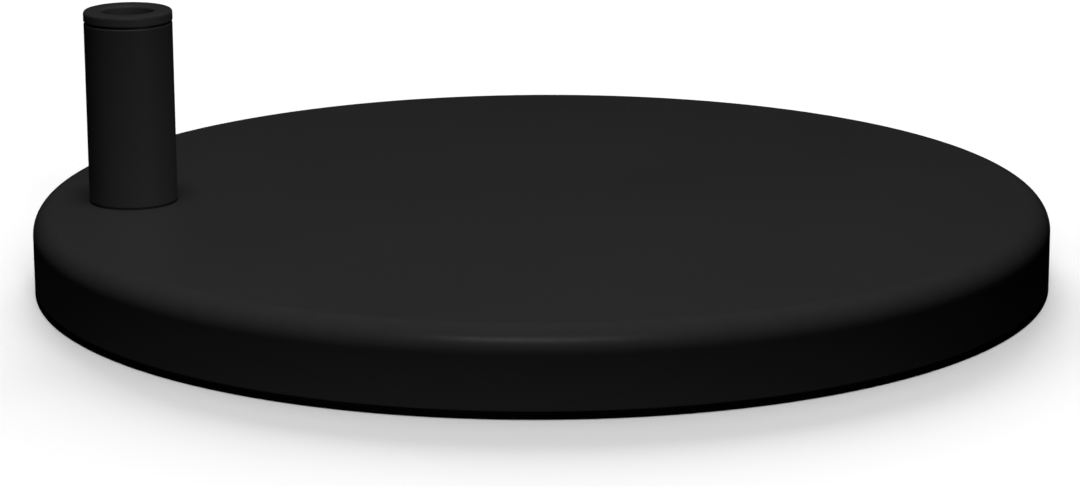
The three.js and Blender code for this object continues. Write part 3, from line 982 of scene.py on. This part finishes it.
def cast_iron(name):
    """Sand cast grey iron, oiled, with a turned lower face."""
    shader = Shader(name, grey(0.06), 0.7, metallic=0.8)
    turned = shader.spread(shader.facing("Z"), -0.95, -0.8, 1.0, 0.0)
    rust = shader.spread(shader.noise(size=12 * MM, detail=5, roughness=0.65), 0.55, 0.75)
    bright = shader.math("MAXIMUM", shader.times(turned, IRON_TURNED_BRIGHTNESS), shader.worn())
    shader.tint(bright, shader.blend(rust, IRON_SKIN, IRON_RUST), IRON_BRIGHT)
    matt = shader.spread(rust, 0, 1, 0.68, 0.85)
    shader.gloss(shader.math("SUBTRACT", matt, shader.times(turned, IRON_TURNED_SHINE)))
    sand = shader.noise(size=1.2 * MM, detail=4, roughness=0.6)
    shader.bump(shader.times(sand, shader.spread(turned, 0, 1, 1.0, 0.05)), depth=0.12 * MM)
    shader.bump(shader.times(shader.turning(DISC_AXIS, pitch=0.6 * MM), turned), depth=0.006 * MM)
    return shader.material


ZINC = (0.60, 0.62, 0.64)
BLACKENED = (0.11, 0.11, 0.125)
STEEL_DARKEST, STEEL_LIGHTEST = 0.86, 1.1


def plated_steel(name, colour, roughness):
    """Plated steel with faint cloudy passivation, rubbed edges and fine scratches."""
    shader = Shader(name, colour, roughness, metallic=1.0)
    cloud = shader.noise(size=9 * MM, detail=4, roughness=0.6)
    worn = shader.worn()
    share = shader.math("MAXIMUM", shader.spread(cloud, 0.35, 0.7, 0.0, 0.5), worn)
    darkest = tuple(part * STEEL_DARKEST for part in colour)
    lightest = tuple(min(part * STEEL_LIGHTEST, 1.0) for part in colour)
    shader.tint(share, darkest, lightest)
    matt = shader.varied(cloud, roughness - 0.06, roughness + 0.1)
    shader.gloss(shader.math("SUBTRACT", matt, shader.times(worn, 0.1)))
    shader.bump(shader.streaks(size=0.8 * MM, detail=3, stretch=0.05), depth=0.003 * MM)
    shader.grain(size=0.3 * MM, depth=0.002 * MM)
    return shader.material


FOAM = (0.30, 0.28, 0.24)
FOAM_DARK = (0.22, 0.20, 0.17)
FOAM_LIGHT = (0.36, 0.34, 0.30)


def foam_tape(name):
    """Double-sided foam sheet: open cells under a thin scrim."""
    shader = Shader(name, FOAM, 0.95, specular=0.1)
    cell = shader.cells(size=0.7 * MM)
    shader.tint(shader.spread(cell, 0.1, 0.6), FOAM_DARK, FOAM_LIGHT)
    shader.gloss(shader.varied(shader.noise(size=4 * MM, detail=3), 0.88, 0.98))
    shader.bump(cell, depth=0.08 * MM)
    return shader.material


# ---------------------------------------------------------------- studio

CAMERA_AZIMUTH = math.radians(-2.852)
CAMERA_ELEVATION = math.radians(14.183)
CAMERA_ROLL = math.radians(-0.231)
CAMERA_DISTANCE = 0.8167
CAMERA_TARGET = Vector((-0.571, -3.82, 7.961)) * MM
CAMERA_LENS = 118.6

CENTRE = Vector((0, 0, 0))
FRONT_RIM = Vector((0, -116, 16)) * MM
POST_MIDDLE = Vector((POST_X, 0, 0.04))
BELOW_OVERHEAD = Vector((-72, -115, 0)) * MM
BACK_FILLS = (-145, 145)

# Azimuth, elevation and energy of the floor's lamps in one quarter. The other three quarters mirror it
FLOOR_LAMPS = ((0, 27, 2.85), (30, 29, 0.28), (60, 32, 0.1), (90, 33, 0.05))
FLOOR_LAMP_SPREAD = math.radians(36)
FLOOR_TOP_SPREAD = math.radians(60)
BACK_FILL_SPREAD = math.radians(25)

FLOOR_RADIUS = 12
FLOOR_SIDES = 96
FLOOR_LEVEL = -0.2 * MM
FLOOR_TONE, FLOOR_DARKEST, FLOOR_LIGHTEST = 0.8, 0.79, 0.81
BACKDROP_COLUMNS, BACKDROP_ROWS = 48, 24


def direction(azimuth, elevation):
    """Way towards a viewer or lamp, from angles in radians; azimuth 0 is in front, on the -Y side."""
    return Vector((
        math.sin(azimuth) * math.cos(elevation),
        -math.cos(azimuth) * math.cos(elevation),
        math.sin(elevation),
    ))


def camera():
    back = direction(CAMERA_AZIMUTH, CAMERA_ELEVATION)
    right = Vector((math.cos(CAMERA_AZIMUTH), math.sin(CAMERA_AZIMUTH), 0))
    up = back.cross(right)
    rolled_right = right * math.cos(CAMERA_ROLL) + up * math.sin(CAMERA_ROLL)
    rolled_up = up * math.cos(CAMERA_ROLL) - right * math.sin(CAMERA_ROLL)
    data = bpy.data.cameras.new("camera")
    data.lens = CAMERA_LENS
    data.clip_start = 10 * MM
    made = bpy.data.objects.new("camera", data)
    axes = Matrix((rolled_right, rolled_up, back)).transposed()
    made.matrix_world = Matrix.Translation(CAMERA_TARGET + back * CAMERA_DISTANCE) @ axes.to_4x4()
    bpy.context.scene.collection.objects.link(made)
    bpy.context.scene.camera = made


def reach(name, objects, state="INCLUDE"):
    """Collection that tells a lamp which objects it lights, or leaves out."""
    made = bpy.data.collections.new(name)
    for o in objects:
        made.objects.link(o)
    for entry in made.collection_objects:
        entry.light_linking.link_state = state
    return made


def lamp(name, kind, target, azimuth, elevation, energy, receivers, distance=1, **settings):
    """A lamp that shines on a target, from angles in degrees. Distance makes no difference to a SUN."""
    data = bpy.data.lights.new(name, kind)
    data.energy = energy
    for key, value in settings.items():
        setattr(data, key, value)
    back = direction(math.radians(azimuth), math.radians(elevation))
    made = bpy.data.objects.new(name, data)
    made.location = target + back * distance
    made.rotation_mode = "QUATERNION"
    made.rotation_quaternion = (-back).to_track_quat("-Z", "Y")
    made.light_linking.receiver_collection = receivers
    made.visible_camera = False
    bpy.context.scene.collection.objects.link(made)
    return made


def unreflected(name, bm, material):
    """Object of the studio that sheds no light on the lamp base and doesn't show in its gloss."""
    mesh = bpy.data.meshes.new(name)
    bm.to_mesh(mesh)
    bm.free()
    mesh.materials.append(material)
    made = bpy.data.objects.new(name, mesh)
    made.visible_diffuse = False
    made.visible_glossy = False
    bpy.context.scene.collection.objects.link(made)
    return made


def floor():
    shader = Shader("pale_floor", grey(FLOOR_TONE), 0.9, specular=0.0)
    shader.tint(shader.noise(size=0.4, detail=2), grey(FLOOR_DARKEST), grey(FLOOR_LIGHTEST))
    bm = bmesh.new()
    bmesh.ops.create_circle(bm, cap_ends=True, segments=FLOOR_SIDES, radius=FLOOR_RADIUS)
    made = unreflected("studio_floor", bm, shader.material)
    made.location.z = FLOOR_LEVEL
    return made


def backdrop():
    """Pale wall all round, far off, which only the camera sees."""
    shader = Shader("pale_wall", grey(0.0), 0.5, specular=0.0)
    shader.feed(grey(1.0), shader.surface, "Emission Color")
    shader.feed(1.0, shader.surface, "Emission Strength")
    bm = bmesh.new()
    bmesh.ops.create_uvsphere(
        bm, u_segments=BACKDROP_COLUMNS, v_segments=BACKDROP_ROWS, radius=FLOOR_RADIUS)
    made = unreflected("studio_backdrop", bm, shader.material)
    made.visible_shadow = False
    made.visible_transmission = False
    made.visible_volume_scatter = False
    return made


def light_floor(receivers):
    for azimuth, elevation, energy in FLOOR_LAMPS:
        for mirrored in sorted({azimuth, -azimuth % 360, 180 - azimuth, 180 + azimuth}):
            lamp(f"floor_lamp_{mirrored}", "SUN", CENTRE, mirrored, elevation, energy, receivers,
                 angle=FLOOR_LAMP_SPREAD)
    lamp("floor_lamp_top", "SUN", CENTRE, azimuth=0, elevation=90, energy=0.67, receivers=receivers,
         angle=FLOOR_TOP_SPREAD)


def light_object(receivers):
    """Soft lamp overhead, lamp in front for the rim's highlight, and faint ones behind for the far sides."""
    overhead = lamp("overhead", "AREA", BELOW_OVERHEAD, azimuth=0, elevation=90, distance=0.9, energy=5.2,
                    receivers=receivers, shape="DISK", size=0.28)
    overhead.visible_glossy = False
    lamp("key", "AREA", FRONT_RIM, azimuth=-7.6, elevation=50, distance=0.4, energy=0.37,
         receivers=receivers, shape="RECTANGLE", size=0.24, size_y=0.1)
    for i, azimuth in enumerate(BACK_FILLS):
        fill = lamp(f"back_fill_{i}", "SUN", CENTRE, azimuth, elevation=8, energy=0.18,
                    receivers=receivers, angle=BACK_FILL_SPREAD)
        fill.visible_glossy = False


def studio(post_pieces):
    bpy.context.scene.view_settings.view_transform = "Standard"
    world = bpy.data.worlds.new("studio")
    world.use_nodes = True
    world.node_tree.nodes["Background"].inputs["Strength"].default_value = 0.0
    bpy.context.scene.world = world
    stage = [floor(), backdrop()]
    light_floor(reach("lit_floor", stage[:1]))
    light_object(reach("lit_object", stage, "EXCLUDE"))
    lamp("post_fill", "AREA", POST_MIDDLE, azimuth=40, elevation=12, distance=0.5, energy=0.22,
         receivers=reach("lit_post", post_pieces), shape="DISK", size=0.15)


# ---------------------------------------------------------------- everything in place

def settle(piece, body, material, node):
    """The piece rides on its body, takes its finish and stands for its CAD node."""
    piece.data.materials.append(material)
    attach(piece, body)
    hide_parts(node)
    return piece


# Heights and shares of dust and of painted light on the coats' upright sides: painted light that is lighter
# towards the foot, and dust that matts them
DISC_DUST_AND_LIGHT = (COVER_LOW.z, 1.0, COVER_LOW.z + 12 * MM, 0.0)
POST_DUST_AND_LIGHT = (TUBE_LOW.z, 1.0, TUBE_HIGH.z, 0.0)
COLLAR_DUST_AND_LIGHT = (COLLAR_FOOT, 0.7, COLLAR_HIGH.z, 0.5)

disc_coat = powder_coat("black_powder_coat", DISC_DUST_AND_LIGHT, edge_wear_and_highlight=0.2)
# The post's rounded edges are painted much lighter: a painted highlight
post_coat = powder_coat("black_powder_coat_post", POST_DUST_AND_LIGHT, edge_wear_and_highlight=2.8)
# The inside of the collar's socket is painted lighter: painted light
collar_coat = powder_coat("black_powder_coat_collar", COLLAR_DUST_AND_LIGHT, edge_wear_and_highlight=0.2, socket_painted_light=0.9)
plastic = acetal("black_acetal", tone=0.012)
# Painted light: the seat washer is a lighter grey than the other acetal so that the shaded line at the post's
# foot reads faint
seat_acetal_painted_light = acetal("acetal_with_painted_light", tone=0.06)
zinc = plated_steel("zinc_plated_steel", ZINC, roughness=0.34)
spring = plated_steel("blackened_spring_steel", BLACKENED, roughness=0.38)

settle(cover(), "base", disc_coat, "top_cover")
settle(pad(), "base", rubber("black_rubber"), "base_pad")
settle(weight(), "base", cast_iron("cast_iron"), "ballast_disc")
settle(sheet(), "base", foam_tape("foam_tape"), "bonding_sheet")
settle(plate(), "base", zinc, "bottom_plate")
for number in SCREW_NUMBERS:
    settle(plate_screw(number), "base", zinc, f"plate_screw_{number}")

post_pieces = [
    settle(tube(), "base", post_coat, "post_tube"),
    settle(upper_bush(), "base", plastic, "upper_bush"),
    settle(collar(), "swivel", collar_coat, "swivel_collar"),
    settle(socket_floor(), "swivel", plastic, "socket_stop"),
]
settle(seat_ring(), "base", seat_acetal_painted_light, "post_seat_washer")
settle(foot_plug(), "base", zinc, "post_foot_plug")
settle(pin(), "base", spring, "post_locating_pin")
settle(bolt(), "base", zinc, "post_bolt")
settle(flat_washer(), "base", zinc, "post_plain_washer")
settle(split_washer(), "base", spring, "post_spring_washer")
settle(lower_bush(), "base", plastic, "lower_bush")
settle(wire_ring(), "swivel", spring, "retaining_ring")
settle(wavy_washer(), "swivel", spring, "wave_washer")

studio(post_pieces)
camera()
